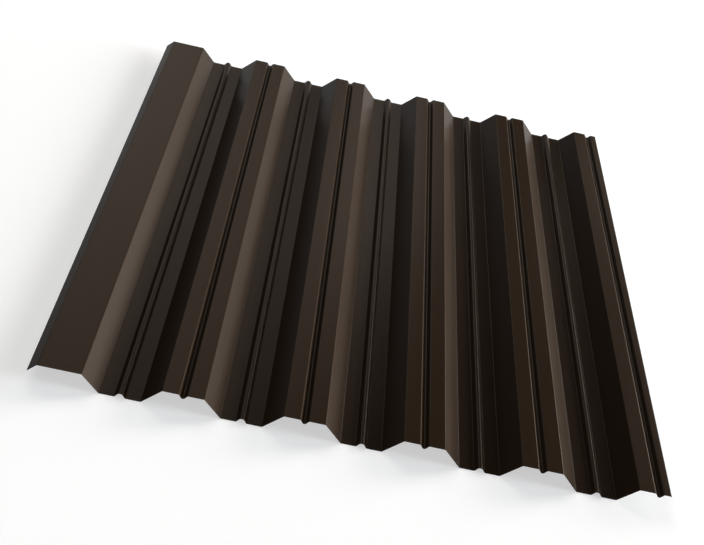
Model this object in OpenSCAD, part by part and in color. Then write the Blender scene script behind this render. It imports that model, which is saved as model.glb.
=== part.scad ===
// Trapezoidal profiled steel sheet for roofs and walls, rolled from one strip.
// Seen from its front end, it starts at the left with a short flange and a plain crest,
// which lap over the neighbouring sheet. Then come the ribbed valleys and grooved crests.
// It ends at the right in part of a crest, which the next sheet covers.
// X runs across the sheet, Y along it and Z up. The valleys lie on z = 0.

/* [Sheet] */
// Length of the sheet, along its crests
sheet_length = 1300; // [300:10:6000]
// Thickness of the steel with its coating
thickness = 0.5; // [0.4:0.05:1.25]
// Height of the crests above the valleys
profile_height = 31; // [26:0.5:45]

/* [Waves] */
// Distance from one crest to the next
pitch = 200; // [190:1:250]
// Number of valleys across the sheet
valley_count = 5; // [2:1:6]
// Width of a valley's flat, from corner to corner
valley_width = 69; // [60:0.5:75]
// Width of a crest's flat, from corner to corner
crest_width = 69; // [60:0.5:75]
// Inside radius of the bends between the flats and the sloping webs
bend_radius = 2; // [1:0.25:4]

/* [Beads] */
// Width of a valley's stiffening rib at its foot
rib_foot = 17.5; // [14:0.5:26]
// Width of the rib at its top
rib_top = 6; // [3:0.5:9]
// Height of the rib above the valley
rib_height = 7.5; // [3:0.5:9]
// Width of a crest's groove at its mouth
groove_mouth = 14.5; // [11:0.5:22]
// Width of the groove at its bottom
groove_bottom = 4; // [2:0.5:7]
// Depth of the groove below the crest
groove_depth = 7; // [3:0.5:9]
// Inside radius of the bends at a rib's foot and at a groove's mouth
foot_radius = 2; // [0.5:0.25:4]
// Inside radius of the bends at a rib's top and at a groove's bottom
tip_radius = 4; // [0.5:0.25:6]

/* [Lap edges] */
// Extra width of the covering crest, so that it drops over the next sheet's edge
lap_play = 3; // [0:0.5:6]
// How far the flange beside the covering crest reaches down
flange_drop = 15; // [6:0.5:24]
// Width of the covered crest, from its web to its lip
covered_width = 54; // [50:0.5:58]
// How far the lip on the covered crest reaches down
lip_drop = 3; // [1.5:0.5:6]
// How far the lip reaches outwards
lip_reach = 1; // [0.5:0.5:3]
// Inside radius of the lip's bend
lip_radius = 1; // [0.5:0.25:2]

/* [Hidden] */

// Straight steps that each bend is drawn with
bend_steps = 4;
// Sideways run of a web between a valley and a crest
web_run = (pitch - valley_width - crest_width) / 2;
// Sideways run of the flange, which keeps the slope of the webs
flange_reach = flange_drop * web_run / profile_height;
covering_width = crest_width + lap_play;

// The section is a path along the middle of the steel, of corners [x, height, inside radius].
// x starts at the left corner of the covering crest.
function valley_start(n) = covering_width + web_run + n * pitch;
function crest_start(n) = valley_start(n) + valley_width + web_run;

// A bead's four corners, on a flat at height level that is centred at x = middle.
// The bead rises by rise, or sinks where rise is negative.
function bead(middle, level, foot, tip, rise) = [
    [middle - foot / 2, level, foot_radius],
    [middle - tip / 2, level + rise, tip_radius],
    [middle + tip / 2, level + rise, tip_radius],
    [middle + foot / 2, level, foot_radius]
];

// A valley from its left corner to its right corner, with the rib in its middle
function valley(x) = concat(
    [[x, 0, bend_radius]],
    bead(x + valley_width / 2, 0, rib_foot, rib_top, rib_height),
    [[x + valley_width, 0, bend_radius]]
);

// A crest's left corner and the groove in its middle. Its right end depends on the crest.
function crest(x) = concat(
    [[x, profile_height, bend_radius]],
    bead(x + crest_width / 2, profile_height, groove_mouth, groove_bottom, -groove_depth)
);

function crest_end(x) = [[x + crest_width, profile_height, bend_radius]];

function covered_end(x) = [
    [x + covered_width, profile_height, lip_radius],
    [x + covered_width + lip_reach, profile_height - lip_drop, 0]
];

corners = concat(
    [[-flange_reach, profile_height - flange_drop, 0]],
    [[0, profile_height, bend_radius], [covering_width, profile_height, bend_radius]],
    [for (n = [0 : valley_count - 1]) each concat(
        valley(valley_start(n)),
        crest(crest_start(n)),
        n < valley_count - 1 ? crest_end(crest_start(n)) : covered_end(crest_start(n))
    )]
);
last = len(corners) - 1;

// Direction of the flat from corner i to the next one, in degrees from level, and its length
function heading(i) = atan2(corners[i + 1][1] - corners[i][1], corners[i + 1][0] - corners[i][0]);
function run(i) = norm([corners[i + 1][0] - corners[i][0], corners[i + 1][1] - corners[i][1]]);

// Unit vectors along and square to a heading
function along(angle) = [cos(angle), sin(angle)];
function square_to(angle) = [-sin(angle), cos(angle)];

// Radius of a bend at the middle of the steel. Two bends share no more than their flat.
function middle_radius(i) = min(
    corners[i][2] + thickness / 2,
    0.49 * min(run(i - 1), run(i)) / tan(abs(heading(i) - heading(i - 1)) / 2)
);

// One point of bend i, a share t of the way round it, at a distance off the middle of the steel
function bend_point(i, t, off) =
    let (
        enter = heading(i - 1),
        turn = heading(i) - enter,
        radius = middle_radius(i),
        tangent = [corners[i][0], corners[i][1]] - radius * tan(abs(turn) / 2) * along(enter),
        centre = tangent + sign(turn) * radius * square_to(enter)
    )
    centre + (off - sign(turn) * radius) * square_to(enter + t * turn);

function end_point(i, angle, off) = [corners[i][0], corners[i][1]] + off * square_to(angle);

// One face of the steel, from the left edge to the right edge
function face(off) = concat(
    [end_point(0, heading(0), off)],
    [for (i = [1 : last - 1]) for (k = [0 : bend_steps]) bend_point(i, k / bend_steps, off)],
    [end_point(last, heading(last - 1), off)]
);

function reversed(list) = [for (i = [len(list) - 1 : -1 : 0]) list[i]];

section = concat(face(thickness / 2), reversed(face(-thickness / 2)));
left_edge = min([for (p = section) p[0]]);
right_edge = max([for (p = section) p[0]]);

module profiled_sheet() {
    color("#3a322b")
        rotate([90, 0, 0])
            linear_extrude(height = sheet_length, center = true)
                translate([-(left_edge + right_edge) / 2, thickness / 2])
                    polygon(section);
}

profiled_sheet();
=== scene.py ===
"""Finishes, floor, lights and camera for a roll-formed steel cladding sheet, coated dark brown."""

import math

import bmesh
import bpy
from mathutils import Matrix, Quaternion, Vector


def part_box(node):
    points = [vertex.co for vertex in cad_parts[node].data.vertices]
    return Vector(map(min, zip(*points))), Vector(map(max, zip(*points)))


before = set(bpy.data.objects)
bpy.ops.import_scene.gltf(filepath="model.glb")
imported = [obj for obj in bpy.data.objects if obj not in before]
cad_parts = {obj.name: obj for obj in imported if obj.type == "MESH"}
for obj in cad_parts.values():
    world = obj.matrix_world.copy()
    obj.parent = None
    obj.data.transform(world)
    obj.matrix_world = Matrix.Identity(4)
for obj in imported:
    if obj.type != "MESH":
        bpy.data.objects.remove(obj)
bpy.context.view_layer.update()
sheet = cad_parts["profiled_sheet"]

# Camera, in metres and degrees
CAMERA_PLACE = Vector((-0.2128, -2.3080, 1.4009))
CAMERA_AIM = Vector((-0.0285, -0.1402, 0.0))
CAMERA_ROLL = 14.83
LENS = 67.66
SENSOR_WIDTH = 36.0

# Colours, linear
TOP_COAT = (0.0190, 0.0120, 0.0075)
BACKING_COAT = (0.20, 0.195, 0.18)
ZINC = (0.14, 0.14, 0.138)
FLOOR = (0.53, 0.59, 0.66)
WHITE = (1.0, 1.0, 1.0, 1.0)

# How strongly the top coat mirrors
TOP_COAT_SPECULAR = 0.02

# Most of a noise node's output lies between these values
NOISE_LOW = 0.3
NOISE_HIGH = 0.7

# Places of the materials on the sheet
TOP_SLOT = 0
BACK_SLOT = 1
EDGE_SLOT = 2

# A face is one of the sheared ends where its normal runs along the sheet at least this much
END_FACING = 0.9

# The slit edges lie within this distance of the sheet's sides, in metres
SLIT_BAND = 0.0008

# Corners of neighbouring faces that lie within this distance are joined, in metres
JOIN_DISTANCE = 0.000002

# Two faces of the bends that meet at less than this angle shade as one curve, in degrees
BEND_ANGLE = 30.0

# How much the floor adds to its lit colour where it is seen, 1 being white
FLOOR_GLOW = 0.55

# The floor's size and how far it lies below the sheet, in metres
FLOOR_RADIUS = 30.0
FLOOR_CORNERS = 96
FLOOR_DROP = 0.0004

# The wall behind the floor is even up to one height and gone at the next, in degrees above the floor
WALL_TOP = 9.0
WALL_FADE = 12.0

# How bright the wall is where it is even, 1 being white
WALL_BRIGHTNESS = 0.93

# The lamps' colours
WARM = (1.0, 0.87, 0.74)
WARM_WHITE = (1.0, 0.95, 0.90)

# How far the lamps stand from the sheet, in metres. It makes no difference to a sun.
SOFTBOX_DISTANCE = 2.9
SUN_DISTANCE = 10.0


def node(tree, kind, **values):
    """A shader node with its sockets set by name, and other settings by attribute."""
    made = tree.nodes.new(kind)
    for name, value in values.items():
        socket = name.replace("_", " ")
        if socket in made.inputs:
            made.inputs[socket].default_value = value
        else:
            setattr(made, name, value)
    return made


def new_material(name):
    """An empty material with a principled shader. Returns the material, its tree and the shader."""
    material = bpy.data.materials.new(name)
    material.use_nodes = True
    tree = material.node_tree
    shader = tree.nodes["Principled BSDF"]
    return material, tree, shader


def stretched_noise(tree, scale, stretch=(1.0, 1.0, 1.0), detail=2.0):
    """Noise over the sheet's own metres. A stretch below 1 along an axis draws the noise out that way."""
    place = node(tree, "ShaderNodeTexCoord")
    squeeze = node(tree, "ShaderNodeMapping")
    squeeze.inputs["Scale"].default_value = stretch
    noise = node(tree, "ShaderNodeTexNoise", Scale=scale, Detail=detail)
    tree.links.new(place.outputs["Object"], squeeze.inputs["Vector"])
    tree.links.new(squeeze.outputs["Vector"], noise.inputs["Vector"])
    return noise.outputs["Fac"]


def spread(tree, value, low, high):
    """Maps noise to the range low to high."""
    mapped = node(tree, "ShaderNodeMapRange")
    mapped.inputs["From Min"].default_value = NOISE_LOW
    mapped.inputs["From Max"].default_value = NOISE_HIGH
    mapped.inputs["To Min"].default_value = low
    mapped.inputs["To Max"].default_value = high
    tree.links.new(value, mapped.inputs["Value"])
    return mapped.outputs["Result"]


def scaled_colour(tree, colour, factor):
    """The colour times a factor that varies over the surface."""
    times = node(tree, "ShaderNodeVectorMath", operation="SCALE")
    times.inputs[0].default_value = colour
    tree.links.new(factor, times.inputs["Scale"])
    return times.outputs["Vector"]


def total(tree, first, second):
    """The sum of two values that vary over the surface."""
    plus = node(tree, "ShaderNodeMath", operation="ADD")
    tree.links.new(first, plus.inputs[0])
    tree.links.new(second, plus.inputs[1])
    return plus.outputs["Value"]


def relief(tree, shader, height, depth):
    """Bump from a height of 0 to 1, depth metres deep."""
    bump = node(tree, "ShaderNodeBump", Strength=1.0, Distance=depth)
    tree.links.new(height, bump.inputs["Height"])
    tree.links.new(bump.outputs["Normal"], shader.inputs["Normal"])


def top_coat():
    """Semi-matt brown paint: a faint orange peel, rolling streaks along the sheet and uneven shade."""
    material, tree, shader = new_material("top_coat")
    cloud = stretched_noise(tree, scale=4.0)
    streak = stretched_noise(tree, scale=160.0, stretch=(1.0, 0.02, 1.0), detail=3.0)
    peel = stretched_noise(tree, scale=650.0, detail=3.0)
    shade = total(
        tree,
        spread(tree, cloud, low=0.97, high=1.01),
        spread(tree, streak, low=-0.02, high=0.03),
    )
    tree.links.new(scaled_colour(tree, TOP_COAT, shade), shader.inputs["Base Color"])
    roughness = total(
        tree,
        spread(tree, streak, low=0.295, high=0.31),
        spread(tree, cloud, low=-0.01, high=0.01),
    )
    tree.links.new(roughness, shader.inputs["Roughness"])
    shader.inputs["Specular IOR Level"].default_value = TOP_COAT_SPECULAR
    relief(tree, shader, peel, depth=0.000006)
    return material


def backing_coat():
    """Thin matt grey service coat on the underside, with the coil's streaks showing through."""
    material, tree, shader = new_material("backing_coat")
    cloud = stretched_noise(tree, scale=6.0, detail=4.0)
    streak = stretched_noise(tree, scale=220.0, stretch=(1.0, 0.015, 1.0), detail=3.0)
    grain = stretched_noise(tree, scale=900.0)
    shade = total(
        tree,
        spread(tree, cloud, low=0.92, high=1.0),
        spread(tree, streak, low=-0.03, high=0.05),
    )
    tree.links.new(scaled_colour(tree, BACKING_COAT, shade), shader.inputs["Base Color"])
    tree.links.new(spread(tree, streak, low=0.52, high=0.62), shader.inputs["Roughness"])
    relief(tree, shader, grain, depth=0.00001)
    return material


def cut_edge():
    """Bare galvanised steel where the sheet was slit and sheared, dulled by handling."""
    material, tree, shader = new_material("cut_edge")
    burr = stretched_noise(tree, scale=1400.0, stretch=(1.0, 1.0, 0.25), detail=4.0)
    shade = spread(tree, burr, low=0.55, high=1.0)
    tree.links.new(scaled_colour(tree, ZINC, shade), shader.inputs["Base Color"])
    tree.links.new(spread(tree, burr, low=0.4, high=0.62), shader.inputs["Roughness"])
    shader.inputs["Metallic"].default_value = 0.85
    relief(tree, shader, burr, depth=0.00003)
    return material


def is_slit(polygon, side):
    """Whether the polygon is one of the two narrow long edges of the sheet."""
    outward = polygon.center.x * polygon.normal.x > 0
    return outward and polygon.normal.z < 0 and side - abs(polygon.center.x) < SLIT_BAND


def finish_sheet():
    """Gives the sheet its three finishes: painted top, grey underside and bare cut edges."""
    mesh = sheet.data
    mesh.materials.clear()
    mesh.materials.append(top_coat())
    mesh.materials.append(backing_coat())
    mesh.materials.append(cut_edge())
    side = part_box("profiled_sheet")[1][0]
    for polygon in mesh.polygons:
        if abs(polygon.normal.y) > END_FACING or is_slit(polygon, side):
            polygon.material_index = EDGE_SLOT
        elif polygon.normal.z < 0:
            polygon.material_index = BACK_SLOT
        else:
            polygon.material_index = TOP_SLOT


def smooth_group():
    """Nodes that join the sheet's faces, shade the bends as curves and keep the cut edges sharp."""
    group = bpy.data.node_groups.new("smooth_bends", "GeometryNodeTree")
    group.interface.new_socket("Geometry", in_out="INPUT", socket_type="NodeSocketGeometry")
    group.interface.new_socket("Geometry", in_out="OUTPUT", socket_type="NodeSocketGeometry")
    start = group.nodes.new("NodeGroupInput")
    end = group.nodes.new("NodeGroupOutput")
    merge = group.nodes.new("GeometryNodeMergeByDistance")
    merge.inputs["Distance"].default_value = JOIN_DISTANCE
    forget = group.nodes.new("GeometryNodeRemoveAttribute")
    forget.inputs["Name"].default_value = "custom_normal"
    smooth = group.nodes.new("GeometryNodeSetShadeSmooth")
    smooth.domain = "FACE"
    sharpen = group.nodes.new("GeometryNodeSetShadeSmooth")
    sharpen.domain = "EDGE"
    sharpen.inputs["Shade Smooth"].default_value = False
    angle = group.nodes.new("GeometryNodeInputMeshEdgeAngle")
    wide = group.nodes.new("FunctionNodeCompare")
    wide.operation = "GREATER_THAN"
    wide.inputs["B"].default_value = math.radians(BEND_ANGLE)
    chain = [start, merge, forget, smooth, sharpen, end]
    for first, second in zip(chain, chain[1:]):
        group.links.new(first.outputs["Geometry"], second.inputs["Geometry"])
    group.links.new(angle.outputs["Unsigned Angle"], wide.inputs["A"])
    group.links.new(wide.outputs["Result"], sharpen.inputs["Selection"])
    return group


def smooth_bends():
    """Shades the bends as curves, while the flats between them stay flat."""
    curves = sheet.modifiers.new("smooth_bends", "NODES")
    curves.node_group = smooth_group()
    flats = sheet.modifiers.new("flat_flats", "WEIGHTED_NORMAL")
    flats.mode = "FACE_AREA"
    flats.keep_sharp = True


def seen_plainly(tree):
    """1 for what the camera, a reflection or a clear surface shows, and 0 for light that falls on things."""
    path = tree.nodes.new("ShaderNodeLightPath")
    seen = total(tree, path.outputs["Is Camera Ray"], path.outputs["Is Glossy Ray"])
    return total(tree, seen, path.outputs["Is Transmission Ray"])


def floor_material():
    """Pale matt floor that shows nearly white, and darker where the sheet shades it."""
    material, tree, shader = new_material("floor")
    shader.inputs["Base Color"].default_value = (*FLOOR, 1.0)
    shader.inputs["Roughness"].default_value = 0.9
    shader.inputs["Specular IOR Level"].default_value = 0.0
    shader.inputs["Emission Color"].default_value = WHITE
    glow = node(tree, "ShaderNodeMath", operation="MULTIPLY")
    glow.inputs[1].default_value = FLOOR_GLOW
    tree.links.new(seen_plainly(tree), glow.inputs[0])
    tree.links.new(glow.outputs["Value"], shader.inputs["Emission Strength"])
    return material


def add_floor():
    """A wide round floor just under the sheet."""
    mesh = bpy.data.meshes.new("floor")
    disc = bmesh.new()
    bmesh.ops.create_circle(disc, cap_ends=True, radius=FLOOR_RADIUS, segments=FLOOR_CORNERS)
    disc.to_mesh(mesh)
    disc.free()
    mesh.materials.append(floor_material())
    floor = bpy.data.objects.new("floor", mesh)
    floor.location.z = -FLOOR_DROP
    bpy.context.scene.collection.objects.link(floor)


def bearing(azimuth, elevation):
    """The direction to a place azimuth degrees right of straight behind, and so high above the floor."""
    turn = math.radians(azimuth)
    rise = math.radians(elevation)
    return Vector((math.sin(turn) * math.cos(rise), math.cos(turn) * math.cos(rise), math.sin(rise)))


def add_lamp(name, kind, colour, strength, place):
    """A lamp that shines at the middle of the sheet and that the camera doesn't see."""
    light = bpy.data.lights.new(name, kind)
    light.color = colour
    light.energy = strength
    lamp = bpy.data.objects.new(name, light)
    lamp.location = place
    lamp.rotation_mode = "QUATERNION"
    lamp.rotation_quaternion = place.to_track_quat("Z", "Y")
    lamp.visible_camera = False
    bpy.context.scene.collection.objects.link(lamp)
    return light


def sun(name, azimuth, elevation, width, strength, colour):
    """A broad far lamp, so many degrees wide. Its strength is the light on a surface that faces it."""
    light = add_lamp(name, "SUN", colour, strength, bearing(azimuth, elevation) * SUN_DISTANCE)
    light.angle = math.radians(width)


def softbox(name, azimuth, elevation, size, power, colour):
    """A rectangular soft lamp, of a width and height in metres."""
    light = add_lamp(name, "AREA", colour, power, bearing(azimuth, elevation) * SOFTBOX_DISTANCE)
    light.shape = "RECTANGLE"
    light.size, light.size_y = size


def add_lights():
    """Low soft light from the right, which half of the webs face, and a weak fill from the left.
    The lamps behind the sheet give its crests and valleys their sheen.
    """
    sun("key", azimuth=50.0, elevation=14.0, width=20.0, strength=2.3, colour=WARM)
    sun("low_key", azimuth=35.0, elevation=12.0, width=16.0, strength=0.56, colour=WARM)
    sun("side", azimuth=88.0, elevation=12.0, width=22.0, strength=3.2, colour=WARM_WHITE)
    sun("high_side", azimuth=100.0, elevation=25.0, width=30.0, strength=0.4, colour=WARM_WHITE)
    sun("fill", azimuth=-115.0, elevation=35.0, width=60.0, strength=0.3, colour=WARM)
    sun("behind", azimuth=-15.0, elevation=35.0, width=30.0, strength=1.08, colour=WARM)
    softbox("band_middle", azimuth=5.0, elevation=31.0, size=(0.41, 0.61), power=4.5, colour=WARM)
    softbox("band_low", azimuth=4.0, elevation=20.0, size=(0.41, 0.51), power=1.4, colour=WARM)
    softbox("sheen", azimuth=45.0, elevation=22.0, size=(0.82, 0.61), power=20.0, colour=WARM)
    softbox("bead_right", azimuth=28.0, elevation=20.0, size=(0.71, 0.51), power=3.2, colour=WARM)
    softbox("low_right", azimuth=62.0, elevation=8.0, size=(1.02, 0.61), power=32.0, colour=WARM)


def add_world():
    """A pale wall low round the floor and a dark room above it, which cast no light of their own."""
    world = bpy.data.worlds.new("room")
    world.use_nodes = True
    tree = world.node_tree
    background = tree.nodes["Background"]
    background.inputs["Color"].default_value = WHITE
    place = tree.nodes.new("ShaderNodeTexCoord")
    split = tree.nodes.new("ShaderNodeSeparateXYZ")
    wall = tree.nodes.new("ShaderNodeMapRange")
    wall.interpolation_type = "SMOOTHSTEP"
    wall.inputs["From Min"].default_value = math.sin(math.radians(WALL_TOP))
    wall.inputs["From Max"].default_value = math.sin(math.radians(WALL_FADE))
    wall.inputs["To Min"].default_value = WALL_BRIGHTNESS
    wall.inputs["To Max"].default_value = 0.0
    seen = node(tree, "ShaderNodeMath", operation="MULTIPLY")
    tree.links.new(place.outputs["Generated"], split.inputs["Vector"])
    tree.links.new(split.outputs["Z"], wall.inputs["Value"])
    tree.links.new(wall.outputs["Result"], seen.inputs[0])
    tree.links.new(seen_plainly(tree), seen.inputs[1])
    tree.links.new(seen.outputs["Value"], background.inputs["Strength"])
    bpy.context.scene.world = world


def add_camera():
    """The camera that the photograph was taken from, found from the sheet's outline."""
    data = bpy.data.cameras.new("camera")
    data.lens = LENS
    data.sensor_width = SENSOR_WIDTH
    camera = bpy.data.objects.new("camera", data)
    level = (CAMERA_AIM - CAMERA_PLACE).to_track_quat("-Z", "Y")
    camera.rotation_mode = "QUATERNION"
    camera.rotation_quaternion = level @ Quaternion((0.0, 0.0, 1.0), math.radians(CAMERA_ROLL))
    camera.location = CAMERA_PLACE
    bpy.context.scene.collection.objects.link(camera)
    bpy.context.scene.camera = camera


finish_sheet()
smooth_bends()
add_floor()
add_lights()
add_world()
add_camera()
bpy.context.scene.view_settings.view_transform = "Standard"
